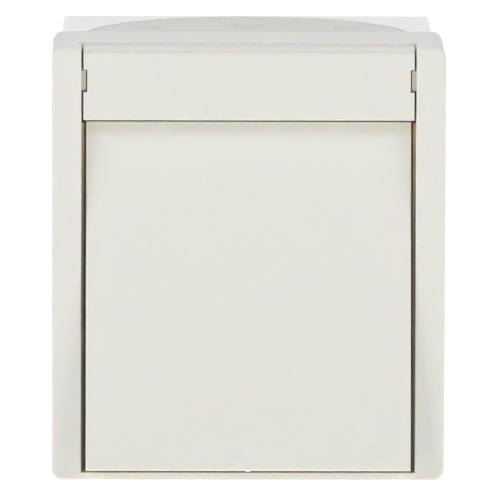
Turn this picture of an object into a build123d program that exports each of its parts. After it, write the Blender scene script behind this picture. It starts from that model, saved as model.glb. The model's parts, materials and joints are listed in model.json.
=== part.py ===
from build123d import *
import os
from math import atan2, cos, hypot, sin

# A splash-proof surface switch with one rocker push button, in millimetres.
# X runs to the right, Z runs up and the front faces -Y. The wall is the plane Y = 0, and
# the origin is the centre of the wall face. A "height" is a distance above the wall.

# Cover
cover_width = 66.0
cover_height = 73.3
cover_corner = 1.8
cover_edge = 0.5
cover_front = 50.0
cover_rear = 26.0
cover_wall = 1.5
face_thickness = 1.6
opening_half_width = 28.06
opening_bottom = -35.35
opening_edge = 0.25
pocket_wall = 1.3
ledge_inner = 27.6
ledge_front = 45.6
ledge_top = 23.4
floor_front = 39.0
floor_rear = 37.5
cover_top = cover_height / 2

# Notch in the cover's top wall, where the bar wraps over the edge
notch_rear = 41.0
groove_front = 43.7
groove_undercut = 0.5

# Base
base_width = 62.8
base_height = 72.6
base_corner = 0.8
base_back = 2.2
shoulder = 25.8
rim_width = 60.4
rim_height = 68.4
rim_front = 30.0
cavity_width = 58.0
cavity_height = 66.0
base_top = base_height / 2
cavity_top = cavity_height / 2

# Cable entry: a half-round seal in the base's top wall
seal_centre = 28.0
seal_radius = 27.4
seal_sheet = 1.0
seal_recess = 0.2
neck_radius = 25.8
neck_front = 24.5
neck_wall = 1.2
nipple_x = 17.0
nipple_height = 14.2
seal_play = 0.1

# Top bar
bar_half_width = 27.72
bar_bottom = 24.41
bar_top = 36.35
bar_face = 1.6
bar_skin = 1.2
bar_rear = 41.4
bar_step = 0.4
bar_edge = 1.0
lug_bottom = 29.3
lug_top = 32.7
lug_inner = 27.3
lug_room = 0.2

# Rocker: its face runs from the recessed top edge to the proud bottom edge
rocker_half_width = 27.28
rocker_top = (47.0, 23.85)
rocker_bottom = (55.0, -34.26)
rocker_plate = 1.6
rocker_wall = 1.3
rocker_edge = 0.3
top_skirt = 4.0
bottom_skirt = 7.0
rocker_length = hypot(rocker_bottom[0] - rocker_top[0], rocker_top[1] - rocker_bottom[1])
rocker_tilt = atan2(rocker_bottom[0] - rocker_top[0], rocker_top[1] - rocker_bottom[1])

# Rocker bearing
pivot_height = 44.0
pivot_z = 1.5
axle_radius = 1.0
axle_fit = 0.06
ear_radius = 2.3
ear_inner = 9.0
ear_thickness = 2.0
bearing_inner = 11.6

# Plunger line and mechanism
plunger_z = -14.0
plunger_radius = 2.5
plunger_tip = 41.0
plunger_fit = 0.08
nose_radius = 1.2
nose_gap = 0.2
foot_half = 4.0
foot_front = 28.8
foot_rear = 21.8
window_front = 27.2
window_rear = 23.2
window_half = 2.6
bridge_front = 24.2
bridge_rear = 23.4
contact_x = 7.0
contact_depth = 0.8
contact_gap = 1.2
strip_thickness = 1.0

socket_half_width = 19.5
socket_bottom = -30.0
socket_top = 2.0
socket_rear = 14.5
socket_floor = 16.5
socket_front = 29.0
socket_wall = 1.6
lid_front = 31.0
guide_front = 35.0
guide_radius = 4.2
terminal_x = 13.0
terminal_z = -2.4

# Fasteners
cover_screw_x = 20.0
cover_screw_z = 29.5
ear_screw_x = 23.5
lid_screw_x = 15.0
lid_screw_z = -26.0
screw_play = 0.05
pillar_radius = 3.2
boss_gap = 0.2

# Wall fixing slots
slot_x = 24.0
slot_top_z = 14.0
slot_bottom_z = -29.0
slot_radius = 2.2
slot_length = 7.0

# Loop-through terminal
earth_z = 17.0
earth_rear = 4.0
earth_front = 11.0


def at_height(height):
    """The plane parallel to the wall at this height, with X to the right and Z up."""
    return Plane.XZ.offset(height)


def block(x_span, height_span, z_span, mode=Mode.ADD):
    """A box between two x values, two heights and two z values."""
    size = [max(span) - min(span) for span in (x_span, height_span, z_span)]
    middle = (sum(x_span) / 2, -sum(height_span) / 2, sum(z_span) / 2)
    with Locations(middle):
        Box(*size, mode=mode)


def peg(x, z, radius, height_span, mode=Mode.ADD):
    """A round peg, or a hole, square to the wall."""
    with Locations(Location((x, -sum(height_span) / 2, z), (90, 0, 0))):
        Cylinder(radius, max(height_span) - min(height_span), mode=mode)


def pin(height, z, radius, x_span, mode=Mode.ADD):
    """A round pin, or a hole, along X."""
    with Locations(Location((sum(x_span) / 2, -height, z), (0, 90, 0))):
        Cylinder(radius, max(x_span) - min(x_span), mode=mode)


def screw(x, z, shank, head, head_height, head_front, tip):
    """A pan-head screw that points at the wall, with a cross recess."""
    peg(x, z, head, (head_front - head_height, head_front))
    peg(x, z, shank, (tip, head_front - head_height))
    arm = head * 0.6
    slot = head * 0.13
    depth = (head_front - head_height * 0.6, head_front)
    block((x - arm, x + arm), depth, (z - slot, z + slot), mode=Mode.SUBTRACT)
    block((x - slot, x + slot), depth, (z - arm, z + arm), mode=Mode.SUBTRACT)


def on_rocker(down, behind):
    """The (Y, Z) point this far down the rocker's face and this far behind it."""
    y = -rocker_top[0] - down * sin(rocker_tilt) + behind * cos(rocker_tilt)
    z = rocker_top[1] - down * cos(rocker_tilt) - behind * sin(rocker_tilt)
    return (y, z)


os.makedirs("parts", exist_ok=True)

# Base box: a tray with a stepped rim, a seat for the cable seal and pillars for the screws
with BuildPart() as base_box:
    with BuildSketch(at_height(0)):
        RectangleRounded(base_width, base_height, base_corner)
    extrude(amount=shoulder)
    with BuildSketch(at_height(shoulder)):
        RectangleRounded(rim_width, rim_height, base_corner)
    extrude(amount=rim_front - shoulder)
    with BuildSketch(at_height(base_back)):
        RectangleRounded(cavity_width, cavity_height, base_corner)
    extrude(amount=rim_front - base_back, mode=Mode.SUBTRACT)

    # Seat for the seal's sheet, and the opening for its neck
    with BuildSketch(Plane.XY.offset(base_top)):
        with Locations((0, -seal_centre)):
            Circle(seal_radius + seal_play)
    extrude(amount=-(seal_sheet + seal_recess), mode=Mode.SUBTRACT)
    with BuildSketch(Plane.XY.offset(cavity_top)):
        with Locations((0, -seal_centre)):
            Circle(neck_radius + seal_play)
        with Locations((0, -(neck_front + seal_play) / 2)):
            Rectangle(2 * seal_radius, neck_front + seal_play, mode=Mode.INTERSECT)
    extrude(amount=base_top - cavity_top, mode=Mode.SUBTRACT)

    for side in (-1, 1):
        peg(side * cover_screw_x, cover_screw_z, pillar_radius, (base_back, rim_front))
        peg(side * cover_screw_x, cover_screw_z, 1.45 + screw_play, (14, rim_front), mode=Mode.SUBTRACT)
        peg(side * ear_screw_x, plunger_z, pillar_radius, (base_back, socket_rear))
        peg(side * ear_screw_x, plunger_z, 1.4 + screw_play, (5, socket_rear), mode=Mode.SUBTRACT)
        block((side * 8.2, side * 9.6), (base_back, 8.0), (earth_z - 5, earth_z + 5))
        # Pocket that the cover's bottom hook catches in
        block((side * 10.8, side * 17.2), (23.3, 25.6), (-34.3, -cavity_top + 0.1), mode=Mode.SUBTRACT)
    block((-8.2, 8.2), (base_back, earth_rear), (earth_z - 4, earth_z + 4))

    # Wall fixing slots
    with BuildSketch(at_height(0)):
        for slot_z in (slot_top_z, slot_bottom_z):
            with Locations((-slot_x, slot_z), (slot_x, slot_z)):
                SlotOverall(slot_length, 2 * slot_radius)
    extrude(amount=base_back, mode=Mode.SUBTRACT)

    # Rings that mark the knock-outs in the back and in the bottom
    with BuildSketch(at_height(0)):
        with Locations((0, earth_z)):
            Circle(9.6)
            Circle(9.0, mode=Mode.SUBTRACT)
    extrude(amount=0.6, mode=Mode.SUBTRACT)
    with BuildSketch(Plane.XY.offset(-base_top)):
        with Locations((0, -12)):
            Circle(6.6)
            Circle(6.0, mode=Mode.SUBTRACT)
    extrude(amount=0.6, mode=Mode.SUBTRACT)
base_box.part.label = "base_box"
export_step(base_box.part, "parts/base_box.step")

# Cable entry seal: a half-round sheet with a neck below it and three nipples
with BuildPart() as cable_entry_seal:
    sheet_top = base_top - seal_recess
    with BuildSketch(Plane.XY.offset(sheet_top - seal_sheet)):
        with Locations((0, -seal_centre)):
            Circle(seal_radius)
        with Locations((0, -(shoulder - seal_play) / 2)):
            Rectangle(2 * seal_radius, shoulder - seal_play, mode=Mode.INTERSECT)
    extrude(amount=seal_sheet)
    with BuildSketch(Plane.XY.offset(cavity_top)):
        with Locations((0, -seal_centre)):
            Circle(neck_radius)
            Circle(neck_radius - neck_wall, mode=Mode.SUBTRACT)
        with Locations((0, -neck_front / 2)):
            Rectangle(2 * seal_radius, neck_front, mode=Mode.INTERSECT)
    extrude(amount=sheet_top - seal_sheet - cavity_top)
    # A groove round each nipple, a low crown on it and a soft cone under it
    for x, height in ((-nipple_x, nipple_height), (0, nipple_height - 1.7), (nipple_x, nipple_height)):
        with BuildSketch(Plane.XY.offset(sheet_top)):
            with Locations((x, -height)):
                Circle(2.7)
                Circle(2.2, mode=Mode.SUBTRACT)
        extrude(amount=-0.15, mode=Mode.SUBTRACT)
        with Locations((x, -height, sheet_top + 0.1)):
            Cone(2.1, 1.2, 0.2)
        with Locations((x, -height, sheet_top - seal_sheet - 0.9)):
            Cone(1.4, 2.4, 1.8)
cable_entry_seal.part.label = "cable_entry_seal"
export_step(cable_entry_seal.part, "parts/cable_entry_seal.step")

# Housing gasket: a ring on the base's shoulder, round its rim, with a bead at half its height
with BuildPart() as housing_gasket:
    with BuildSketch(at_height(shoulder)):
        RectangleRounded(2 * 31.35, 2 * 35.0, 1.0)
        RectangleRounded(rim_width + 0.1, rim_height + 0.1, base_corner, mode=Mode.SUBTRACT)
    extrude(amount=2.4)
    with BuildSketch(at_height(shoulder + 0.9)):
        RectangleRounded(2 * 31.44, 2 * 35.09, 1.0)
        RectangleRounded(2 * 31.2, 2 * 34.8, 0.9, mode=Mode.SUBTRACT)
    extrude(amount=0.6)
housing_gasket.part.label = "housing_gasket"
export_step(housing_gasket.part, "parts/housing_gasket.step")

# Front cover: a hood with hollow cheeks and a pocket with a floor
with BuildPart() as front_cover:
    with BuildSketch(at_height(cover_rear)):
        RectangleRounded(cover_width, cover_height, cover_corner)
    extrude(amount=cover_front - cover_rear)
    fillet(front_cover.faces().sort_by(Axis.Y)[0].edges(), radius=cover_edge)
    with BuildSketch(at_height(cover_rear)):
        RectangleRounded(cover_width - 2 * cover_wall, cover_height - 2 * cover_wall, 1.0)
    extrude(amount=cover_front - face_thickness - cover_rear, mode=Mode.SUBTRACT)

    # Pocket: a block inside the hood, hollowed from the front down to the floor
    pocket_outer = opening_half_width + pocket_wall
    pocket_top = cover_top - cover_wall
    block((-pocket_outer, pocket_outer), (floor_rear, cover_front - face_thickness),
          (-pocket_top, pocket_top))
    block((-opening_half_width, opening_half_width), (floor_front, cover_front),
          (opening_bottom, pocket_top), mode=Mode.SUBTRACT)
    block((-opening_half_width, opening_half_width), (notch_rear, cover_front),
          (pocket_top, cover_top), mode=Mode.SUBTRACT)
    # Groove in the notch's sides, at the level of the bar's stepped rear
    groove_half_width = opening_half_width + groove_undercut
    block((-groove_half_width, groove_half_width), (notch_rear, groove_front),
          (pocket_top, cover_top), mode=Mode.SUBTRACT)

    for side in (-1, 1):
        # Ledge along the pocket's side wall, beside the rocker
        block((side * ledge_inner, side * (opening_half_width + 0.1)), (floor_front - 0.1, ledge_front),
              (opening_bottom - 0.1, ledge_top))
        # Ribs across the hollow cheeks
        for rib_z in (-24, -8, 8, 24):
            block((side * (pocket_outer - 0.1), side * (cover_width / 2 - cover_wall + 0.1)),
                  (floor_rear, cover_front - face_thickness), (rib_z - 0.6, rib_z + 0.6))
        # Lug that holds the bar's end
        block((side * lug_inner, side * (opening_half_width + 0.1)), (45.5, 49.2), (lug_bottom, lug_top))
        # Boss for the cover screw, below the floor
        peg(side * cover_screw_x, cover_screw_z, pillar_radius, (rim_front + boss_gap, floor_rear))
        peg(side * cover_screw_x, cover_screw_z, 1.6, (rim_front, floor_front), mode=Mode.SUBTRACT)
        # Slot for the bar's leg
        block((side * 5.6, side * 12.4), (floor_rear, floor_front), (29.9, 31.9), mode=Mode.SUBTRACT)
        # Bottom hook, on a leg below the floor
        block((side * 11.5, side * 16.5), (24.0, floor_rear), (-32.8, -31.6))
        block((side * 11.5, side * 16.5), (24.0, 25.0), (-34.0, -32.8))
        # Bearing ear for the rocker's axle
        bearing = (bearing_inner, bearing_inner + ear_thickness)
        block((side * bearing[0], side * bearing[1]), (floor_front, pivot_height),
              (pivot_z - ear_radius, pivot_z + ear_radius))
        pin(pivot_height, pivot_z, ear_radius, (side * bearing[0], side * bearing[1]))
        pin(pivot_height, pivot_z, axle_radius, (side * bearing[0], side * bearing[1]), mode=Mode.SUBTRACT)

    # Seat for the plunger seal
    peg(0, plunger_z, 4.5, (floor_rear, floor_front), mode=Mode.SUBTRACT)

    # Softened edges along both sides of the opening
    front_edges = front_cover.edges().filter_by(Axis.Z).filter_by_position(
        Axis.Y, -cover_front - 0.01, -cover_front + 0.01)
    fillet(front_edges, radius=opening_edge)
front_cover.part.label = "front_cover"
export_step(front_cover.part, "parts/front_cover.step")

# Cover screws
with BuildPart() as cover_screws:
    for side in (-1, 1):
        screw(side * cover_screw_x, cover_screw_z, 1.45, 2.9, 2.0, 41.0, 16.0)
cover_screws.part.label = "cover_screws"
export_step(cover_screws.part, "parts/cover_screws.step")

# Top bar: a face and a stepped top skin with a rounded corner, closed ends and two snap legs
with BuildPart() as top_bar:
    with BuildSketch(Plane.YZ.offset(-bar_half_width)) as bar_outline:
        with BuildLine():
            Polyline(
                (-cover_front, bar_bottom), (-cover_front, bar_top), (-groove_front, bar_top),
                (-groove_front, bar_top - bar_step), (-bar_rear, bar_top - bar_step),
                (-bar_rear, bar_top - bar_step - bar_skin),
                (-cover_front + bar_face, bar_top - bar_step - bar_skin),
                (-cover_front + bar_face, bar_bottom + bar_skin), (-46.0, bar_bottom + bar_skin),
                (-46.0, bar_bottom), close=True)
        make_face()
        top_corner = bar_outline.vertices().sort_by(Axis.Y)[-2:].sort_by(Axis.X)[0]
        fillet(top_corner, radius=bar_edge)
    extrude(amount=2 * bar_half_width)
    for side in (-1, 1):
        block((side * (bar_half_width - 1.2), side * bar_half_width), (44.0, cover_front - bar_face),
              (bar_bottom + bar_skin, bar_top - bar_skin))
        # Notch for the cover's lug
        block((side * (lug_inner - lug_room), side * bar_half_width), (44.0, cover_front),
              (lug_bottom - lug_room, lug_top + lug_room), mode=Mode.SUBTRACT)
        # Snap leg through the pocket floor
        block((side * 6.0, side * 12.0), (36.3, cover_front - bar_face), (30.3, 31.7))
        block((side * 6.0, side * 12.0), (36.3, 37.3), (31.7, 32.4))
top_bar.part.label = "top_bar"
export_step(top_bar.part, "parts/top_bar.step")

# Rocker: a plate with a skirt, two ears for the axle and a nose over the plunger
with BuildPart() as rocker:
    with BuildSketch(Plane.YZ.offset(-rocker_half_width)):
        with BuildLine():
            Polyline(
                on_rocker(0, 0), on_rocker(rocker_length, 0),
                on_rocker(rocker_length - 0.45, bottom_skirt), on_rocker(0.15, top_skirt), close=True)
        make_face()
    extrude(amount=2 * rocker_half_width)
    fillet(rocker.faces().sort_by(SortBy.AREA)[-1].edges(), radius=rocker_edge)
    with BuildSketch(Plane.YZ.offset(-rocker_half_width + rocker_wall)):
        with BuildLine():
            Polyline(
                on_rocker(rocker_wall, rocker_plate), on_rocker(rocker_length - rocker_wall, rocker_plate),
                on_rocker(rocker_length - rocker_wall - 0.6, bottom_skirt + 0.6),
                on_rocker(rocker_wall + 0.2, top_skirt + 0.6), close=True)
        make_face()
    extrude(amount=2 * (rocker_half_width - rocker_wall), mode=Mode.SUBTRACT)

    # Long ribs behind the plate
    for rib_x in (-18.6, 17.4):
        with BuildSketch(Plane.YZ.offset(rib_x)):
            with BuildLine():
                Polyline(
                    on_rocker(1, rocker_plate - 0.2), on_rocker(rocker_length - 1, rocker_plate - 0.2),
                    on_rocker(rocker_length - 1, 3.8), on_rocker(1, 3.2), close=True)
            make_face()
        extrude(amount=1.2)
    # Ears
    for ear_x in (-ear_inner - ear_thickness, ear_inner):
        with BuildSketch(Plane.YZ.offset(ear_x)):
            with BuildLine():
                Polyline(
                    (-pivot_height, pivot_z - ear_radius), on_rocker(27.5, rocker_plate - 0.2),
                    on_rocker(18.5, rocker_plate - 0.2), (-pivot_height, pivot_z + ear_radius),
                    close=True)
            make_face()
            with Locations((-pivot_height, pivot_z)):
                Circle(ear_radius)
                Circle(axle_radius + axle_fit, mode=Mode.SUBTRACT)
        extrude(amount=ear_thickness)
    # Nose
    with BuildSketch(Plane.YZ.offset(-4)):
        nose_tip = plunger_tip + nose_gap + nose_radius
        with BuildLine():
            Polyline(
                (-nose_tip, plunger_z - nose_radius), (-nose_tip, plunger_z + nose_radius),
                on_rocker(36.6, rocker_plate - 0.2), on_rocker(40.4, rocker_plate - 0.2), close=True)
        make_face()
        with Locations((-nose_tip, plunger_z)):
            Circle(nose_radius)
    extrude(amount=8)
    # Moulding nib in the middle of the bottom edge
    with BuildSketch(Plane.YZ.offset(-0.35)):
        with BuildLine():
            Polyline(
                on_rocker(rocker_length - 0.3, 0.5), on_rocker(rocker_length + 0.14, 0.6),
                on_rocker(rocker_length + 0.12, 1.3), on_rocker(rocker_length - 0.3, 1.4), close=True)
        make_face()
    extrude(amount=0.7)
rocker.part.label = "rocker"
export_step(rocker.part, "parts/rocker.step")

# Rocker axle
with BuildPart() as rocker_axle:
    axle_end = bearing_inner + ear_thickness + 0.6
    pin(pivot_height, pivot_z, axle_radius, (-axle_end, axle_end))
    chamfer(rocker_axle.edges().filter_by(GeomType.CIRCLE), length=0.25)
rocker_axle.part.label = "rocker_axle"
export_step(rocker_axle.part, "parts/rocker_axle.step")

# Plunger seal: a ring in the pocket floor, with a lip on each side
with BuildPart() as plunger_seal:
    peg(0, plunger_z, 4.5, (floor_rear, floor_front))
    peg(0, plunger_z, 5.4, (floor_front, floor_front + 0.4))
    peg(0, plunger_z, 5.4, (floor_rear - 0.7, floor_rear))
    peg(0, plunger_z, plunger_radius + plunger_fit, (floor_rear - 1, floor_front + 1), mode=Mode.SUBTRACT)
plunger_seal.part.label = "plunger_seal"
export_step(plunger_seal.part, "parts/plunger_seal.step")

# Plunger: a domed stem, a foot with a window for the bridge, and a pin for the spring
with BuildPart() as plunger:
    peg(0, plunger_z, plunger_radius, (foot_front, plunger_tip))
    fillet(plunger.edges().sort_by(Axis.Y)[0], radius=1.4)
    block((-foot_half, foot_half), (foot_rear, foot_front), (plunger_z - foot_half, plunger_z + foot_half))
    block((-foot_half, foot_half), (window_rear, window_front),
          (plunger_z - window_half, plunger_z + window_half), mode=Mode.SUBTRACT)
    peg(0, plunger_z, 1.2, (19.0, foot_rear))
plunger.part.label = "plunger"
export_step(plunger.part, "parts/plunger.step")

# Return spring, between the socket's floor and the plunger's foot
with BuildPart() as return_spring:
    with BuildLine():
        return_coil = Helix(pitch=1.2, height=foot_rear - socket_floor - 0.6, radius=2.4,
                            center=(0, -socket_floor - 0.3, plunger_z), direction=(0, -1, 0))
    with BuildSketch(Plane(origin=return_coil @ 0, z_dir=return_coil % 0)):
        Circle(0.25)
    sweep(path=return_coil, is_frenet=True)
return_spring.part.label = "return_spring"
export_step(return_spring.part, "parts/return_spring.step")

# Contact spring, in the plunger's window, on the front of the bridge
with BuildPart() as contact_spring:
    with BuildLine():
        contact_coil = Helix(pitch=0.75, height=window_front - bridge_front - 0.4, radius=1.4,
                             center=(0, -bridge_front - 0.2, plunger_z), direction=(0, -1, 0))
    with BuildSketch(Plane(origin=contact_coil @ 0, z_dir=contact_coil % 0)):
        Circle(0.15)
    sweep(path=contact_coil, is_frenet=True)
contact_spring.part.label = "contact_spring"
export_step(contact_spring.part, "parts/contact_spring.step")

# Contact bridge: a springy strip through the plunger's window, with a hole at each end
with BuildPart() as contact_bridge:
    with BuildSketch(at_height(bridge_rear)):
        with Locations((0, plunger_z)):
            SlotOverall(19.0, 4.6)
    extrude(amount=bridge_front - bridge_rear)
    for side in (-1, 1):
        peg(side * contact_x, plunger_z, 0.8, (bridge_rear, bridge_front), mode=Mode.SUBTRACT)
contact_bridge.part.label = "contact_bridge"
export_step(contact_bridge.part, "parts/contact_bridge.step")

# Moving contacts: rivets in the bridge, with a domed head towards the wall
with BuildPart() as moving_contacts:
    for side in (-1, 1):
        peg(side * contact_x, plunger_z, 0.8, (bridge_rear, bridge_front))
        peg(side * contact_x, plunger_z, 1.6, (bridge_rear - contact_depth, bridge_rear))
        peg(side * contact_x, plunger_z, 1.2, (bridge_front, bridge_front + 0.3))
    rivet_heads = moving_contacts.edges().filter_by(GeomType.CIRCLE).group_by(Axis.Y)[-1]
    fillet(rivet_heads, radius=0.4)
moving_contacts.part.label = "moving_contacts"
export_step(moving_contacts.part, "parts/moving_contacts.step")

# Fixed contacts: rivets in the terminal strips
contact_front = bridge_rear - contact_depth - contact_gap
strip_front = contact_front - contact_depth
with BuildPart() as fixed_contacts:
    for side in (-1, 1):
        peg(side * contact_x, plunger_z, 1.6, (strip_front, contact_front))
        peg(side * contact_x, plunger_z, 0.8, (strip_front - strip_thickness, strip_front))
    rivet_heads = fixed_contacts.edges().filter_by(GeomType.CIRCLE).group_by(Axis.Y)[0]
    fillet(rivet_heads, radius=0.4)
fixed_contacts.part.label = "fixed_contacts"
export_step(fixed_contacts.part, "parts/fixed_contacts.step")

# Terminal strips: folded brass, from under the fixed contact to the clamp
for side, name in ((-1, "terminal_strip_left"), (1, "terminal_strip_right")):
    with BuildPart() as terminal_strip:
        block((side * 5.0, side * 10.5), (strip_front - strip_thickness, strip_front),
              (plunger_z - 2.2, plunger_z + 2.2))
        block((side * 9.5, side * 10.5), (socket_floor, strip_front), (plunger_z - 2.2, plunger_z + 2.2))
        block((side * 9.5, side * 15.2), (socket_floor, socket_floor + strip_thickness),
              (plunger_z - 2.2, plunger_z + 2.2))
        block((side * 10.8, side * 15.2), (socket_floor, socket_floor + strip_thickness),
              (plunger_z, terminal_z + 2.5))
        peg(side * contact_x, plunger_z, 0.8, (strip_front - strip_thickness, strip_front),
            mode=Mode.SUBTRACT)
    terminal_strip.part.label = name
    export_step(terminal_strip.part, f"parts/{name}.step")

# Terminal clamps: folded steel boxes round the strips' ends, open towards the cables
clamp_rear = socket_floor + strip_thickness
clamp_front = 24.5
with BuildPart() as terminal_clamps:
    for side in (-1, 1):
        clamp_x = side * terminal_x
        block((clamp_x - 3.2, clamp_x + 3.2), (clamp_rear, clamp_front), (terminal_z - 2.5, terminal_z + 2.5))
        block((clamp_x - 2.3, clamp_x + 2.3), (clamp_rear + 0.8, clamp_front - 1.4),
              (terminal_z - 2.5, terminal_z + 2.5), mode=Mode.SUBTRACT)
        peg(clamp_x, terminal_z, 1.5 + screw_play, (clamp_front - 1.4, clamp_front), mode=Mode.SUBTRACT)
terminal_clamps.part.label = "terminal_clamps"
export_step(terminal_clamps.part, "parts/terminal_clamps.step")

# Terminal screws
with BuildPart() as terminal_screws:
    for side in (-1, 1):
        screw(side * terminal_x, terminal_z, 1.5, 2.3, 1.6, 28.0, 19.5)
terminal_screws.part.label = "terminal_screws"
export_step(terminal_screws.part, "parts/terminal_screws.step")

# Switch socket: the mechanism's tray, with an ear on each side
with BuildPart() as switch_socket:
    block((-socket_half_width, socket_half_width), (socket_rear, socket_front), (socket_bottom, socket_top))
    block((-socket_half_width + socket_wall, socket_half_width - socket_wall), (socket_floor, socket_front),
          (socket_bottom + socket_wall, socket_top - socket_wall), mode=Mode.SUBTRACT)
    # Walls of the contact chamber, open where the strips pass under them
    block((-18.5, 18.5), (socket_floor, socket_front), (plunger_z - 7.2, plunger_z - 6.0))
    block((-9.4, 9.4), (socket_floor, socket_front), (plunger_z + 6.0, plunger_z + 7.2))
    for side in (-1, 1):
        # Ear and its hole
        block((side * (socket_half_width - 0.1), side * 27.2), (socket_rear, socket_floor),
              (plunger_z - 3.5, plunger_z + 3.5))
        peg(side * ear_screw_x, plunger_z, 1.6, (socket_rear, socket_floor), mode=Mode.SUBTRACT)
        # Boss for the lid screw
        peg(side * lid_screw_x, lid_screw_z, 2.7, (socket_floor, socket_front))
        peg(side * lid_screw_x, lid_screw_z, 1.1 + screw_play, (19.0, socket_front), mode=Mode.SUBTRACT)
        # Wire entry in the top wall, in front of the clamp
        block((side * (terminal_x - 2.6), side * (terminal_x + 2.6)), (18.0, 23.4),
              (socket_top - socket_wall, socket_top), mode=Mode.SUBTRACT)
switch_socket.part.label = "switch_socket"
export_step(switch_socket.part, "parts/switch_socket.step")

# Socket lid: a plate with the plunger's guide and holes over the terminal screws
with BuildPart() as socket_lid:
    block((-socket_half_width, socket_half_width), (socket_front, lid_front), (socket_bottom, socket_top))
    peg(0, plunger_z, guide_radius, (lid_front, guide_front))
    peg(0, plunger_z, plunger_radius + plunger_fit, (socket_front, guide_front), mode=Mode.SUBTRACT)
    for side in (-1, 1):
        peg(side * terminal_x, terminal_z, 2.6, (socket_front, lid_front), mode=Mode.SUBTRACT)
        peg(side * lid_screw_x, lid_screw_z, 1.3, (socket_front, lid_front), mode=Mode.SUBTRACT)
        peg(side * lid_screw_x, lid_screw_z, 2.2, (lid_front - 1.0, lid_front), mode=Mode.SUBTRACT)
socket_lid.part.label = "socket_lid"
export_step(socket_lid.part, "parts/socket_lid.step")

# Lid screws
with BuildPart() as lid_screws:
    for side in (-1, 1):
        screw(side * lid_screw_x, lid_screw_z, 1.1, 2.0, 1.2, 31.2, 21.0)
lid_screws.part.label = "lid_screws"
export_step(lid_screws.part, "parts/lid_screws.step")

# Socket screws
with BuildPart() as socket_screws:
    for side in (-1, 1):
        screw(side * ear_screw_x, plunger_z, 1.4, 2.6, 1.9, 18.4, 7.0)
socket_screws.part.label = "socket_screws"
export_step(socket_screws.part, "parts/socket_screws.step")

# Earth terminal: a brass block with two cross holes for the wires
with BuildPart() as earth_terminal:
    block((-8.0, 8.0), (earth_rear, earth_front), (earth_z - 4, earth_z + 4))
    for side in (-1, 1):
        with Locations((side * 4, -(earth_rear + 2.7), earth_z)):
            Cylinder(1.7, 8, mode=Mode.SUBTRACT)
        peg(side * 4, earth_z, 1.5 + screw_play, (earth_rear + 3, earth_front), mode=Mode.SUBTRACT)
    fillet(earth_terminal.edges().filter_by(Axis.Y).filter_by(GeomType.LINE), radius=0.6)
earth_terminal.part.label = "earth_terminal"
export_step(earth_terminal.part, "parts/earth_terminal.step")

# Earth terminal screws
with BuildPart() as earth_terminal_screws:
    for side in (-1, 1):
        screw(side * 4, earth_z, 1.5, 2.2, 1.5, 13.2, earth_rear + 4.6)
earth_terminal_screws.part.label = "earth_terminal_screws"
export_step(earth_terminal_screws.part, "parts/earth_terminal_screws.step")
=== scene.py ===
# %% [markdown]
# # A splash-proof rocker push button switch
# The CAD model of the switch is packed as a fixed frame, and this lesson dresses it. Every solid gets a
# finish, the screws get their threads, the cable seal gets soft edges, and the two springs are wound
# again. A camera, a floor and lamps are added last. Everything is in metres. X runs to
# the right, Z runs up, and the front of the switch looks along -Y.

# %% Load the frame
import json
import math

import bmesh
import bpy
from mathutils import Matrix, Vector


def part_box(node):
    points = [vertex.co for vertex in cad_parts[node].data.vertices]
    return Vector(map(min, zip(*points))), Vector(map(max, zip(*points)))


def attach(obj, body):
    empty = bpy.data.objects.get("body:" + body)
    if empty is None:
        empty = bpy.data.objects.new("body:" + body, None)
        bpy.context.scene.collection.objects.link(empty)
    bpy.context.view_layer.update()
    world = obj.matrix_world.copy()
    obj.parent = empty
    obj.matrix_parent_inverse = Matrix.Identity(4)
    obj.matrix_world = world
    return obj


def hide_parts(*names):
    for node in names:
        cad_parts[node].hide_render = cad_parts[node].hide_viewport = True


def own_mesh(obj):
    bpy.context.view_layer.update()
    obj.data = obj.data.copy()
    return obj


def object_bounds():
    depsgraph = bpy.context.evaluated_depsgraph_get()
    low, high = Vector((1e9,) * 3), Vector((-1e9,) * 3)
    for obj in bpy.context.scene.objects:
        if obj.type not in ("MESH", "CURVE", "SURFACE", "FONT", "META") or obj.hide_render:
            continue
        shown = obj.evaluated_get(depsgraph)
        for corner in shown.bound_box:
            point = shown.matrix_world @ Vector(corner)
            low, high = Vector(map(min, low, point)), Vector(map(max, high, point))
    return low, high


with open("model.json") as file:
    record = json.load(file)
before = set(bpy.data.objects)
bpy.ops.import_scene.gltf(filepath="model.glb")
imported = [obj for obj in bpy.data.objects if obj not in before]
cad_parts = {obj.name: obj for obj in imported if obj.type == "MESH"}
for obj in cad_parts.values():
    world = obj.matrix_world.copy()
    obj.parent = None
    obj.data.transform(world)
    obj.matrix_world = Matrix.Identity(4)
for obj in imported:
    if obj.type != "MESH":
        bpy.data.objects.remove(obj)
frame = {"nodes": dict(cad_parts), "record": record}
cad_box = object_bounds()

print("CAD nodes:", len(frame["nodes"]), "in a box from", cad_box[0], "to", cad_box[1])

# %% [markdown]
# ## Helpers for node materials
# A procedural finish is a small graph of nodes that ends in one Principled shader. The graphs could be
# drawn in the editor, but a few helpers keep the script short and let the finishes share their
# ingredients: clouds of noise for the colour, and a finer noise for the relief.
# All patterns read Object coordinates, so they stay on the piece when it moves.

# %% A material and its noise


def start_material(name, colour, roughness, metallic=0.0):
    """A material with its Principled shader set, and the nodes to add to."""
    material = bpy.data.materials.new(name)
    material.use_nodes = True
    nodes = material.node_tree.nodes
    links = material.node_tree.links
    shader = nodes["Principled BSDF"]
    shader.inputs["Base Color"].default_value = (*colour, 1.0)
    shader.inputs["Roughness"].default_value = roughness
    shader.inputs["Metallic"].default_value = metallic
    material.diffuse_color = (*colour, 1.0)
    return material, nodes, links, shader


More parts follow.
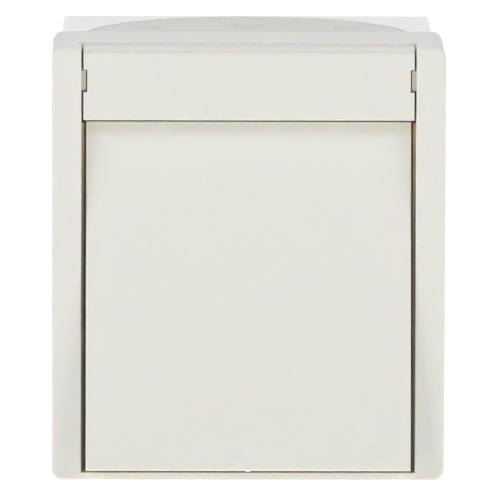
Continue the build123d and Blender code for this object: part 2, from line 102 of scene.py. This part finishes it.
def add_noise(nodes, links, scale, detail, stretch=(1.0, 1.0, 1.0)):
    """Noise with scale features per metre; a stretch below 1 draws them out along that axis."""
    where = nodes.new("ShaderNodeTexCoord")
    place = nodes.new("ShaderNodeMapping")
    place.inputs["Scale"].default_value = stretch
    noise = nodes.new("ShaderNodeTexNoise")
    noise.inputs["Scale"].default_value = scale
    noise.inputs["Detail"].default_value = detail
    links.new(where.outputs["Object"], place.inputs["Vector"])
    links.new(place.outputs["Vector"], noise.inputs["Vector"])
    return noise


print("a finish starts from a Principled shader and a noise")

# %% What a noise can drive
# Nearly all values of a noise lie between these two
noise_low = 0.3
noise_high = 0.7


def vary_colour(nodes, links, shader, noise, low, high):
    """The noise mixes two close colours into the base colour."""
    mix = nodes.new("ShaderNodeMix")
    mix.data_type = "RGBA"
    mix.inputs["A"].default_value = (*low, 1.0)
    mix.inputs["B"].default_value = (*high, 1.0)
    links.new(noise.outputs["Fac"], mix.inputs["Factor"])
    links.new(mix.outputs["Result"], shader.inputs["Base Color"])


def vary_roughness(nodes, links, shader, noise, low, high):
    """The noise moves the roughness between two values."""
    span = nodes.new("ShaderNodeMapRange")
    span.inputs["From Min"].default_value = noise_low
    span.inputs["From Max"].default_value = noise_high
    span.inputs["To Min"].default_value = low
    span.inputs["To Max"].default_value = high
    links.new(noise.outputs["Fac"], span.inputs["Value"])
    links.new(span.outputs["Result"], shader.inputs["Roughness"])


def add_relief(nodes, links, shader, noise, height, strength):
    """The noise becomes a relief of that height in metres."""
    bump = nodes.new("ShaderNodeBump")
    bump.inputs["Strength"].default_value = strength
    bump.inputs["Distance"].default_value = height
    links.new(noise.outputs["Fac"], bump.inputs["Height"])
    links.new(bump.outputs["Normal"], shader.inputs["Normal"])


print("a noise drives colour, roughness and relief")

# %% [markdown]
# ## Cream moulded plastic
# The hood, the top bar, the rocker and the base box are injection-moulded in the same cream plastic. The
# mould was spark-eroded, which leaves a very fine grain, so highlights are broad and soft. A plain
# glossy shader would look like porcelain. Here the colour drifts a little between two creams, the
# roughness drifts with it, and a grain about a third of a millimetre wide gives the satin. The base box
# comes from a smoother mould, so it shines more, and its grain is lower and wider.
# Light also travels a little way under the skin, which softens the thin edges.

# %% Cream plastic for the four housing parts
skin_depth = 0.0006
skin_reach = (1.0, 0.6, 0.3)


def cream_plastic(name, light, deep, roughness, grain_scale, grain_height, shine=0.4):
    """Cream moulding with drifting tone, satin grain and a little light under its skin."""
    material, nodes, links, shader = start_material(name, light, roughness)
    cloud = add_noise(nodes, links, scale=38.0, detail=2.0)
    vary_colour(nodes, links, shader, cloud, deep, light)
    vary_roughness(nodes, links, shader, cloud, roughness - 0.03, roughness + 0.04)
    grain = add_noise(nodes, links, grain_scale, detail=2.0)
    add_relief(nodes, links, shader, grain, grain_height, strength=0.35)
    shader.inputs["Subsurface Weight"].default_value = 1.0
    shader.inputs["Subsurface Radius"].default_value = skin_reach
    shader.inputs["Subsurface Scale"].default_value = skin_depth
    shader.inputs["Specular IOR Level"].default_value = shine
    return material


cream_kinds = {
    "cover_plastic": {"light": (0.772, 0.768, 0.732), "deep": (0.754, 0.750, 0.713),
                      "roughness": 0.46, "grain_scale": 2800.0, "grain_height": 0.000020},
    "bar_plastic": {"light": (0.768, 0.764, 0.724), "deep": (0.750, 0.746, 0.704),
                    "roughness": 0.46, "grain_scale": 2800.0, "grain_height": 0.000020},
    "rocker_plastic": {"light": (0.770, 0.766, 0.728), "deep": (0.754, 0.750, 0.710),
                       "roughness": 0.44, "grain_scale": 3000.0, "grain_height": 0.000018},
    "base_plastic": {"light": (0.830, 0.828, 0.790), "deep": (0.812, 0.810, 0.770),
                     "roughness": 0.16, "grain_scale": 1800.0, "grain_height": 0.000008, "shine": 0.6},
}
finishes = {name: cream_plastic(name, **kind) for name, kind in cream_kinds.items()}
print("cream finishes:", ", ".join(finishes))

# %% [markdown]
# ## Painted light and shade in the gaps
# Light that goes to and fro between the walls of a narrow gap takes their colour each time, and some
# comes through the walls, so a gap in a cream moulding is brown and not black. Longer travel under the
# skin was tried for this, but in thin walls such light leaves through the back and the gap turns dark.
# Here that light and shade are painted: the base colour is multiplied by a tint inside boxes with soft
# borders. Painted light makes most walls lighter, and nearly all of these warmer: the pocket, the floor
# of the slit under the rocker, the back wall of the groove over the bar, the rocker's flanks and ends,
# and the underside of the bar. Painted shade darkens the fronts of the ledges beside the rocker, the
# lugs that hold the bar, and the rocker's strip under the bar.

# %% Painted light and shade inside a box


def add_box_mask(nodes, links, middle, half_size, blur):
    """1 inside a box and 0 outside, with a soft border that is blur wide; all in metres."""
    where = nodes.new("ShaderNodeTexCoord")
    moved = nodes.new("ShaderNodeVectorMath")
    moved.operation = "SUBTRACT"
    moved.inputs[1].default_value = middle
    from_middle = nodes.new("ShaderNodeVectorMath")
    from_middle.operation = "ABSOLUTE"
    beyond = nodes.new("ShaderNodeVectorMath")
    beyond.operation = "SUBTRACT"
    beyond.inputs[1].default_value = half_size
    split = nodes.new("ShaderNodeSeparateXYZ")
    links.new(where.outputs["Object"], moved.inputs[0])
    links.new(moved.outputs["Vector"], from_middle.inputs[0])
    links.new(from_middle.outputs["Vector"], beyond.inputs[0])
    links.new(beyond.outputs["Vector"], split.inputs["Vector"])
    furthest = split.outputs["X"]
    for axis in ("Y", "Z"):
        larger = nodes.new("ShaderNodeMath")
        larger.operation = "MAXIMUM"
        links.new(furthest, larger.inputs[0])
        links.new(split.outputs[axis], larger.inputs[1])
        furthest = larger.outputs["Value"]
    border = nodes.new("ShaderNodeMapRange")
    border.inputs["From Min"].default_value = blur
    border.inputs["From Max"].default_value = 0.0
    links.new(furthest, border.inputs["Value"])
    return border.outputs["Result"]


def paint_light_and_shade_in_boxes(finish, boxes):
    """Each box multiplies the base colour inside it by its tint: painted light above 1, painted shade
    below.
    """
    nodes = finishes[finish].node_tree.nodes
    links = finishes[finish].node_tree.links
    base_colour = nodes["Principled BSDF"].inputs["Base Color"]
    for box in boxes.values():
        inside = add_box_mask(nodes, links, box["middle"], box["half_size"], box["blur"])
        multiply = nodes.new("ShaderNodeMix")
        multiply.data_type = "RGBA"
        multiply.blend_type = "MULTIPLY"
        multiply.inputs["B"].default_value = (*box["tint"], 1.0)
        links.new(inside, multiply.inputs["Factor"])
        links.new(base_colour.links[0].from_socket, multiply.inputs["A"])
        links.new(multiply.outputs["Result"], base_colour)
    # Lists the boxes where light and shade are painted on this finish
    print(finish, "is tinted in the boxes:", ", ".join(boxes))


print("a box can tint a cream finish")

# %% Boxes on the cover
paint_light_and_shade_in_boxes("cover_plastic", {
    # pocket: painted light, lighter and warmer, on the walls of the pocket round the rocker
    "pocket": {"middle": (0.0, 0.0, 0.0), "half_size": (0.0283, 0.0472, 0.0356), "blur": 0.0003,
               "tint": (1.26, 1.15, 1.00)},
    # ledges: painted shade on the fronts of the ledges beside the rocker
    "ledges": {"middle": (0.0, -0.0456, -0.0060), "half_size": (0.0283, 0.0001, 0.0296), "blur": 0.0001,
               "tint": (0.76, 0.67, 0.58)},
    # slit floor: painted light on the floor of the slit under the rocker
    "slit floor": {"middle": (0.0, -0.0484, -0.0354), "half_size": (0.0283, 0.0011, 0.0003), "blur": 0.0001,
                   "tint": (1.25, 1.22, 1.12)},
    # groove wall: painted light on the back wall of the groove over the bar
    "groove wall": {"middle": (0.0, -0.0410, 0.0361), "half_size": (0.0287, 0.0002, 0.0010), "blur": 0.0002,
                    "tint": (1.24, 1.25, 1.26)},
    # lugs: painted shade on the lugs that hold the bar
    "lugs": {"middle": (0.0, -0.0473, 0.0310), "half_size": (0.0281, 0.0021, 0.0018), "blur": 0.0001,
             "tint": (0.95, 0.90, 0.82)},
})

# %% Boxes on the rocker and the bar
flank_x = 0.0274
# flank: painted light, lighter and warmer, on the rocker's flanks in the side gaps
flank = {"half_size": (0.0003, 0.0485, 0.0400), "blur": 0.0002, "tint": (1.26, 1.17, 1.04)}
# facing_seam: painted light on the rocker's top end and the bar's underside, either side of the seam
facing_seam = {"blur": 0.0001, "tint": (1.26, 1.25, 1.24)}
paint_light_and_shade_in_boxes("rocker_plastic", {
    "left flank": {"middle": (-flank_x, 0.0, 0.0), **flank},
    "right flank": {"middle": (flank_x, 0.0, 0.0), **flank},
    # strip under the bar: painted shade where the bar shades the rocker
    "strip under the bar": {"middle": (0.0, -0.0475, 0.0228), "half_size": (0.0270, 0.0030, 0.0004),
                            "blur": 0.0014, "tint": (0.93, 0.92, 0.86)},
    # top end: painted light on the rocker's top end
    "top end": {"middle": (0.0, -0.0460, 0.0243), "half_size": (0.0275, 0.0030, 0.0005), **facing_seam},
    # lower end: painted light on the rocker's lower end over the slit
    "lower end": {"middle": (0.0, -0.0520, -0.0350), "half_size": (0.0275, 0.0040, 0.0008),
                  "blur": 0.0001, "tint": (1.10, 1.08, 1.02)},
})
paint_light_and_shade_in_boxes("bar_plastic", {
    # underside: painted light on the underside of the bar
    "underside": {"middle": (0.0, -0.0460, 0.0241), "half_size": (0.0280, 0.0050, 0.0003), **facing_seam},
})

# %% [markdown]
# ## The other plastics and the rubber
# The cable seal is a soft, matt moulding, greyer than the housing. The gasket and the plunger's ring are
# black rubber. Inside, the plunger is milky nylon, the socket is a pale thermoset with a fine speckle,
# and its lid is dark grey. Each one could be a copy of the cream plastic with another colour, but
# rubber scatters more and a filled plastic needs a sharper noise, so each gets its own numbers.

# %% Rubber


def matt_rubber(name, light, deep, roughness):
    """Soft rubber with clouds in its tone and a dusty grain."""
    material, nodes, links, shader = start_material(name, light, roughness)
    cloud = add_noise(nodes, links, scale=90.0, detail=4.0)
    vary_colour(nodes, links, shader, cloud, deep, light)
    vary_roughness(nodes, links, shader, cloud, roughness - 0.05, roughness + 0.05)
    grain = add_noise(nodes, links, scale=4200.0, detail=3.0)
    add_relief(nodes, links, shader, grain, height=0.000030, strength=0.4)
    shader.inputs["Specular IOR Level"].default_value = 0.35
    return material


rubber_kinds = {
    "seal_rubber": {"light": (0.720, 0.728, 0.685), "deep": (0.690, 0.698, 0.655), "roughness": 0.62},
    "gasket_rubber": {"light": (0.035, 0.035, 0.034), "deep": (0.022, 0.022, 0.022), "roughness": 0.70},
}
for name, kind in rubber_kinds.items():
    finishes[name] = matt_rubber(name, **kind)
print("rubber finishes:", ", ".join(rubber_kinds))

# %% Nylon and filled plastics
speck_starts = 0.42
speck_ends = 0.58


def speckled_plastic(name, light, deep, roughness, speck_scale):
    """Plastic with a filler that shows as small specks of a second tone."""
    material, nodes, links, shader = start_material(name, light, roughness)
    speck = add_noise(nodes, links, speck_scale, detail=6.0)
    ramp = nodes.new("ShaderNodeValToRGB")
    ramp.color_ramp.elements[0].position = speck_starts
    ramp.color_ramp.elements[0].color = (*deep, 1.0)
    ramp.color_ramp.elements[1].position = speck_ends
    ramp.color_ramp.elements[1].color = (*light, 1.0)
    links.new(speck.outputs["Fac"], ramp.inputs["Fac"])
    links.new(ramp.outputs["Color"], shader.inputs["Base Color"])
    vary_roughness(nodes, links, shader, speck, roughness - 0.06, roughness + 0.06)
    grain = add_noise(nodes, links, scale=2400.0, detail=3.0)
    add_relief(nodes, links, shader, grain, height=0.000025, strength=0.4)
    return material


speckled_kinds = {
    "plunger_plastic": {"light": (0.810, 0.790, 0.700), "deep": (0.780, 0.760, 0.665),
                        "roughness": 0.38, "speck_scale": 160.0},
    "socket_plastic": {"light": (0.700, 0.695, 0.660), "deep": (0.640, 0.635, 0.595),
                       "roughness": 0.52, "speck_scale": 1500.0},
    "lid_plastic": {"light": (0.082, 0.086, 0.095), "deep": (0.064, 0.067, 0.075),
                    "roughness": 0.50, "speck_scale": 900.0},
}
for name, kind in speckled_kinds.items():
    finishes[name] = speckled_plastic(name, **kind)
print("speckled finishes:", ", ".join(speckled_kinds))

# %% [markdown]
# ## Metals
# Screws and clamps are zinc plated, the axle is drawn steel and the springs are steel wire. The contact
# bridge is bronze strip, the contact rivets are a silver alloy, and the terminals are brass. A metal has
# no colour of its own without something to reflect, so its look lies in the roughness. The axle and the
# bronze strip get a noise that is stretched along X, the way they were drawn and rolled, and the others
# get soft clouds of slightly different tint.

# %% Plated, drawn and stamped metal
relief_finer = 9.0


def bare_metal(name, light, deep, roughness, spread, scale, relief, stretch=(1.0, 1.0, 1.0)):
    """Metal with clouds in its tone and roughness, and a relief that is finer than the clouds."""
    material, nodes, links, shader = start_material(name, light, roughness, metallic=1.0)
    cloud = add_noise(nodes, links, scale, detail=4.0, stretch=stretch)
    vary_colour(nodes, links, shader, cloud, deep, light)
    vary_roughness(nodes, links, shader, cloud, roughness - spread, roughness + spread)
    lines = add_noise(nodes, links, scale * relief_finer, detail=3.0, stretch=stretch)
    add_relief(nodes, links, shader, lines, relief, strength=0.5)
    return material


metal_kinds = {
    "zinc_steel": {"light": (0.640, 0.650, 0.640), "deep": (0.520, 0.530, 0.500),
                   "roughness": 0.34, "spread": 0.08, "scale": 420.0, "relief": 0.000010},
    "axle_steel": {"light": (0.660, 0.660, 0.670), "deep": (0.560, 0.560, 0.570),
                   "roughness": 0.24, "spread": 0.06, "scale": 900.0, "relief": 0.000006,
                   "stretch": (0.05, 1.0, 1.0)},
    "spring_steel": {"light": (0.460, 0.460, 0.470), "deep": (0.360, 0.360, 0.370),
                     "roughness": 0.30, "spread": 0.08, "scale": 800.0, "relief": 0.000006},
    "contact_bronze": {"light": (0.760, 0.500, 0.300), "deep": (0.660, 0.410, 0.230),
                       "roughness": 0.32, "spread": 0.08, "scale": 500.0, "relief": 0.000008,
                       "stretch": (0.2, 1.0, 1.0)},
    "contact_silver": {"light": (0.830, 0.820, 0.790), "deep": (0.720, 0.710, 0.680),
                       "roughness": 0.28, "spread": 0.08, "scale": 700.0, "relief": 0.000006},
    "terminal_brass": {"light": (0.800, 0.620, 0.300), "deep": (0.700, 0.520, 0.230),
                       "roughness": 0.30, "spread": 0.08, "scale": 450.0, "relief": 0.000008},
}
for name, kind in metal_kinds.items():
    finishes[name] = bare_metal(name, **kind)
print("metal finishes:", ", ".join(metal_kinds), "and finishes in all:", len(finishes))

# %% [markdown]
# ## Put the finishes on the solids
# The record names the finish of each solid, so nothing has to be picked by hand. The material goes into
# the object's own slot, and the mesh is left as it came from CAD.

# %% Dress the CAD nodes
record_slots = {part["node"]: part["material_slot"] for part in frame["record"]["subparts"]}
for node_name, node in frame["nodes"].items():
    for holder in node.material_slots:
        holder.link = "OBJECT"
        holder.material = finishes[record_slots[node_name]]
print("dressed", len(frame["nodes"]), "nodes")

# %% [markdown]
# ## From a bmesh to a piece
# Threads, springs and soft edges are shaped as a bmesh, which then becomes an object. The object could be
# moved to its place, but the export sets every object to the origin, so the place is in the mesh. After
# that each piece says which body it rides, so that it moves with that body, and which finish it has.

# %% Add a piece


def add_piece(name, shape, finish):
    """The bmesh becomes an object at the origin that wears a finish."""
    bmesh.ops.recalc_face_normals(shape, faces=shape.faces)
    mesh = bpy.data.meshes.new(name)
    shape.to_mesh(mesh)
    shape.free()
    mesh.materials.append(finishes[finish])
    piece = bpy.data.objects.new(name, mesh)
    bpy.context.scene.collection.objects.link(piece)
    print(name, "has", len(mesh.polygons), "faces")
    return piece


print("a bmesh can become a piece")

# %% [markdown]
# ## Screw threads
# In CAD the screws are plain shanks with a cross recess. On the real switch the long screws cut coarse
# threads into the plastic, and the short ones of the terminals have fine machine threads. A thread could
# be a bump in the material, but it would vanish on the silhouette. Here one small triangle is spun round
# the shank and pushed along it at each step, which is how a lathe cuts a thread. Its two ends run out
# into the shank.

# %% Wind one thread
steps_per_turn = 20
root_overlap = 0.0001
# In pitches: from the shank's tip to the first ridge, and half the width of the ridge's foot
tip_gap = 0.8
half_foot = 0.4


def wind_thread(name, x, z, tip_y, core, length, pitch, ridge):
    """A right-handed ridge on a shank along Y, wound from its tip near the wall towards its head."""
    thread = bmesh.new()
    start_y = tip_y - tip_gap * pitch
    foot_x = x + core - root_overlap
    crest = thread.verts.new((x + core + ridge, start_y, z))
    flanks = [thread.verts.new((foot_x, start_y + side * half_foot * pitch, z)) for side in (-1, 1)]
    thread.faces.new([flanks[0], crest, flanks[1]])
    turns = length / pitch
    steps = round(turns * steps_per_turn)
    wound = bmesh.ops.spin(
        thread, geom=thread.verts[:] + thread.edges[:] + thread.faces[:],
        cent=(x, start_y, z), axis=(0.0, -1.0, 0.0), dvec=(0.0, -length / steps, 0.0),
        angle=turns * 2.0 * math.pi, steps=steps)
    last_corners = [part for part in wound["geom_last"] if isinstance(part, bmesh.types.BMVert)]
    last_crest = max(last_corners, key=lambda corner: math.hypot(corner.co.x - x, corner.co.z - z))
    run_out = core / (core + ridge)
    for corner in (crest, last_crest):
        corner.co.x = x + (corner.co.x - x) * run_out
        corner.co.z = z + (corner.co.z - z) * run_out
    piece = add_piece(name, thread, "zinc_steel")
    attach(piece, "housing")


print("a thread has", steps_per_turn, "steps in a turn")

# %% [markdown]
# ## Ten screws
# The screws come in pairs, and each pair is one CAD node with its heads at the two ends of its box. So
# the place of each screw is read from the box of its node, and nothing is measured twice. The core, the
# length, the pitch and the ridge are typical of each kind of screw. They could be measured on the CAD
# mesh, but a thread has to sit a little inside its shank, so rounded numbers do.

# %% A thread for each of the ten screws
thread_kinds = {
    "cover_screws": {"core": 0.00145, "length": 0.0125, "pitch": 0.00120, "ridge": 0.00030},
    "lid_screws": {"core": 0.00110, "length": 0.0068, "pitch": 0.00090, "ridge": 0.00022},
    "socket_screws": {"core": 0.00140, "length": 0.0066, "pitch": 0.00110, "ridge": 0.00026},
    "terminal_screws": {"core": 0.00150, "length": 0.0060, "pitch": 0.00060, "ridge": 0.00014},
    "earth_terminal_screws": {"core": 0.00150, "length": 0.0024, "pitch": 0.00060, "ridge": 0.00014},
}
for node_name, kind in thread_kinds.items():
    low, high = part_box(node_name)
    head_radius = (high.z - low.z) / 2.0
    for side, x in (("left", low.x + head_radius), ("right", high.x - head_radius)):
        name = node_name.replace("_screws", "_thread_") + side
        wind_thread(name, x, (low.z + high.z) / 2.0, high.y, **kind)

# %% [markdown]
# ## Two springs wound again
# One coil spring pushes the plunger back, and a smaller one presses the contact bridge forward from inside
# the plunger. The CAD coils are rigid, so at full press the plunger would run into them. Each coil is
# wound again from a circle that is spun round the spring's axis, takes the place of its CAD node, and
# keeps just the share of its length that the moving parts leave it.

# %% Wind the two springs
wire_sides = 12
coil_steps_per_turn = 32
mechanism_z = -0.014


def wind_spring(name, node_name, body, rear_y, front_y, coil_radius, wire_radius,
                pitch):
    """A coil along Y between the middles of its end wires."""
    coil = bmesh.new()
    bmesh.ops.create_circle(coil, cap_ends=False, segments=wire_sides, radius=wire_radius)
    bmesh.ops.translate(coil, verts=coil.verts, vec=(coil_radius, rear_y, mechanism_z))
    turns = (rear_y - front_y) / pitch
    steps = round(turns * coil_steps_per_turn)
    bmesh.ops.spin(
        coil, geom=coil.verts[:] + coil.edges[:], cent=(0.0, rear_y, mechanism_z), axis=(0.0, -1.0, 0.0),
        dvec=(0.0, (front_y - rear_y) / steps, 0.0), angle=turns * 2.0 * math.pi, steps=steps)
    bmesh.ops.holes_fill(coil, edges=coil.edges, sides=wire_sides)
    piece = add_piece(name, coil, "spring_steel")
    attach(piece, body)
    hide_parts(node_name)
    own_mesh(piece)


wind_spring("return_coil", "return_spring", "housing", rear_y=-0.0168,
            front_y=-0.0215, coil_radius=0.0024, wire_radius=0.00025, pitch=0.0012)
wind_spring("contact_coil", "contact_spring", "bridge", rear_y=-0.0244,
            front_y=-0.0270, coil_radius=0.0014, wire_radius=0.00015, pitch=0.00075)

# %% [markdown]
# ## Soft edges of the cable seal
# The seal is pressed into the base from above. Its edge is a thin soft lip that lies against the wall of
# its seat, so no open gap is seen there, and the grooves round its three nipples have soft edges too. The
# CAD sheet has plain edges with a little play. They could be bevelled, but the mesh of a CAD node is never
# changed. So small wedges are spun round the middle of the seal and round each nipple.

# %% Spin a wedge
sheet_z = 0.0361


def spin_wedge(name, corners, middle, start=0.0, sweep=2.0 * math.pi, steps=48):
    """A wedge of soft rubber with corners (radius, height over the sheet), spun round a vertical line."""
    wedge = bmesh.new()
    ring = [wedge.verts.new((radius, 0.0, sheet_z + height)) for radius, height in corners]
    full_turn = sweep == 2.0 * math.pi
    if full_turn:
        for corner, following in zip(ring, ring[1:] + ring[:1]):
            wedge.edges.new((corner, following))
    else:
        wedge.faces.new(ring)
    bmesh.ops.rotate(wedge, verts=wedge.verts, cent=(0.0, 0.0, 0.0), matrix=Matrix.Rotation(start, 3, "Z"))
    bmesh.ops.spin(
        wedge, geom=wedge.verts[:] + wedge.edges[:] + wedge.faces[:], cent=(0.0, 0.0, 0.0),
        axis=(0.0, 0.0, 1.0), angle=sweep, steps=steps, use_merge=full_turn)
    bmesh.ops.translate(wedge, verts=wedge.verts, vec=(*middle, 0.0))
    piece = add_piece(name, wedge, "seal_rubber")
    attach(piece, "housing")


print("wedges are spun on the seal's outer face at z", sheet_z)

# %% [markdown]
# ## One lip and three rings
# The lip follows the seal's arc from cheek to cheek and stops where the hood hides it. Each ring fills the
# outer corner of a nipple's groove. A full ring would be simpler for the lip as well, but its front half
# would run through the hood.

# %% Lip and nipple rings
seal_middle = (0.0, -0.0280)
lip_corners = [(0.02712, -0.00002), (0.02748, -0.00002), (0.02748, 0.00018)]
lip_start = math.radians(9.5)
lip_sweep = math.pi - 2.0 * lip_start
spin_wedge("seal_lip", lip_corners, seal_middle, start=lip_start, sweep=lip_sweep, steps=96)
ring_corners = [(0.00223, -0.00016), (0.00272, -0.00016), (0.00272, -0.00001)]
nipple_middles = {"left": (-0.017, -0.0142), "middle": (0.0, -0.0125), "right": (0.017, -0.0142)}
for side, nipple_middle in nipple_middles.items():
    spin_wedge("nipple_ring_" + side, ring_corners, nipple_middle)

# %% [markdown]
# ## Camera
# The photograph was taken from far off with a long lens, a little above the switch. The distance, the
# scale and the three angles were found by matching corners of the switch, so they are written here as
# named values. The camera could stand nearer, but then the vertical edges would spread.

# %% Camera
aim = Vector((-0.00009, -0.050, 0.00284))
distance = 1.9
height_angle = math.radians(7.67)
side_angle = math.radians(-0.59)
roll_angle = math.radians(0.18)
pixels_per_metre = 5960.0
picture_width = 496.0
sensor_width = 36.0
back = Vector((math.sin(side_angle) * math.cos(height_angle),
               -math.cos(side_angle) * math.cos(height_angle),
               math.sin(height_angle)))
camera = bpy.data.objects.new("camera", bpy.data.cameras.new("camera"))
camera.data.sensor_width = sensor_width
camera.data.lens = pixels_per_metre * distance * sensor_width / picture_width
camera.data.clip_end = 20.0
camera.matrix_world = (Matrix.Translation(aim + back * distance)
                       @ back.to_track_quat("Z", "Y").to_matrix().to_4x4()
                       @ Matrix.Rotation(roll_angle, 4, "Z"))
bpy.context.scene.collection.objects.link(camera)
bpy.context.scene.camera = camera
print("camera at", tuple(round(v, 3) for v in camera.location), "lens", round(camera.data.lens, 1))

# %% [markdown]
# ## Two kinds of rays
# The photograph is a studio shot on white. A background that is simply made brighter would also light the
# switch, and its pale plastic would burn out. So the rays are told apart: some look at the background,
# straight or mirrored, and the others carry light to the switch.

# %% Split the rays


def empty_graph(holder):
    """The node graph of a material or a world, cleared."""
    holder.use_nodes = True
    holder.node_tree.nodes.clear()
    return holder.node_tree.nodes, holder.node_tree.links


def split_rays(nodes, links, lighting, seen, output_type):
    """Rays that carry light meet the first shader; those that see or mirror the background, the second."""
    ray = nodes.new("ShaderNodeLightPath")
    seen_or_mirrored = nodes.new("ShaderNodeMath")
    seen_or_mirrored.operation = "MAXIMUM"
    any_of_them = nodes.new("ShaderNodeMath")
    any_of_them.operation = "MAXIMUM"
    links.new(ray.outputs["Is Camera Ray"], seen_or_mirrored.inputs[0])
    links.new(ray.outputs["Is Glossy Ray"], seen_or_mirrored.inputs[1])
    links.new(seen_or_mirrored.outputs["Value"], any_of_them.inputs[0])
    links.new(ray.outputs["Is Transmission Ray"], any_of_them.inputs[1])
    choose = nodes.new("ShaderNodeMixShader")
    links.new(any_of_them.outputs["Value"], choose.inputs["Fac"])
    links.new(lighting, choose.inputs[1])
    links.new(seen, choose.inputs[2])
    out = nodes.new(output_type)
    links.new(choose.outputs["Shader"], out.inputs["Surface"])


print("rays can be split in a material and in a world")

# %% [markdown]
# ## Floor
# The floor stands for a white sheet that is lit from below, like a photographer's table: it sends light
# up under the rim and the rocker's lower edge. The rays that look at it see a greyer paint with a stronger
# glow, which together are white and still keep the shadow. A floor that is plain white to those rays
# would be easier, but the switch would float. It lies a tenth of a millimetre under the switch, because
# two faces in one plane would flicker.

# %% A glowing floor
floor_drop = 0.0001
floor_reach = 3.0
floor_z = cad_box[0][2] - floor_drop
floor_mesh = bpy.data.meshes.new("floor")
sheet = bmesh.new()
bmesh.ops.create_grid(sheet, x_segments=1, y_segments=1, size=floor_reach)
bmesh.ops.translate(sheet, verts=sheet.verts, vec=(0.0, 0.0, floor_z))
sheet.to_mesh(floor_mesh)
sheet.free()
floor = bpy.data.objects.new("floor", floor_mesh)
bpy.context.scene.collection.objects.link(floor)


def glowing_paint(nodes, links, grey, glow):
    """A matt grey paint that is also lit from below."""
    paint = nodes.new("ShaderNodeBsdfDiffuse")
    paint.inputs["Color"].default_value = (grey, grey, grey, 1.0)
    backlight = nodes.new("ShaderNodeEmission")
    backlight.inputs["Strength"].default_value = glow
    both = nodes.new("ShaderNodeAddShader")
    links.new(paint.outputs["BSDF"], both.inputs[0])
    links.new(backlight.outputs["Emission"], both.inputs[1])
    return both.outputs["Shader"]


floor_paint = bpy.data.materials.new("floor_paint")
nodes, links = empty_graph(floor_paint)
lit_sheet = glowing_paint(nodes, links, grey=0.90, glow=0.56)
seen_sheet = glowing_paint(nodes, links, grey=0.50, glow=0.72)
split_rays(nodes, links, lit_sheet, seen_sheet, "ShaderNodeOutputMaterial")
floor_mesh.materials.append(floor_paint)
print("floor at z", round(floor_z, 5))

# %% [markdown]
# ## World
# The world is a faint tent of light, and it is plain white for the rays that look at it. A strong tent
# would be easier, but it makes the switch flat.

# %% A faint tent
tent_strength = 0.12
white_strength = 1.0


def white_from_all_sides(nodes, strength):
    """White light of that strength from all round."""
    background = nodes.new("ShaderNodeBackground")
    background.inputs["Color"].default_value = (1.0, 1.0, 1.0, 1.0)
    background.inputs["Strength"].default_value = strength
    return background.outputs["Background"]


world = bpy.data.worlds.new("tent")
bpy.context.scene.world = world
nodes, links = empty_graph(world)
tent = white_from_all_sides(nodes, tent_strength)
white = white_from_all_sides(nodes, white_strength)
split_rays(nodes, links, tent, white, "ShaderNodeOutputWorld")
print("the tent has a strength of", tent_strength)

# %% [markdown]
# ## Lamps
# Four softboxes light the switch: two high at the sides, a small one in front, and one above and behind
# that reaches the tops. Their powers weren't guessed. The scene was rendered with each lamp alone, and the
# mix that comes closest to the tones of the photograph was worked out from those pictures.

# %% Lamps


def add_softbox(name, place, width, height, power):
    """A rectangular lamp that faces the origin, in the middle of the switch's back."""
    lamp = bpy.data.lights.new(name, "AREA")
    lamp.shape = "RECTANGLE"
    lamp.size = width
    lamp.size_y = height
    lamp.energy = power
    softbox = bpy.data.objects.new(name, lamp)
    outwards = Vector(place)
    softbox.matrix_world = (Matrix.Translation(outwards)
                            @ outwards.to_track_quat("Z", "Y").to_matrix().to_4x4())
    bpy.context.scene.collection.objects.link(softbox)
    print(name, "has", power, "W")


softboxes = {
    "left_high": {"place": (-1.15, -0.8, 0.8), "width": 0.8, "height": 0.8, "power": 8.5},
    "right_high": {"place": (1.15, -0.8, 0.8), "width": 0.8, "height": 0.8, "power": 7.4},
    "front": {"place": (0.0, -1.6, 0.30), "width": 0.8, "height": 0.3, "power": 3.0},
    "above_behind": {"place": (0.0, 0.75, 1.3), "width": 0.9, "height": 0.9, "power": 9.0},
}
for name, softbox in softboxes.items():
    add_softbox(name, **softbox)
bpy.context.scene.view_settings.view_transform = "Standard"
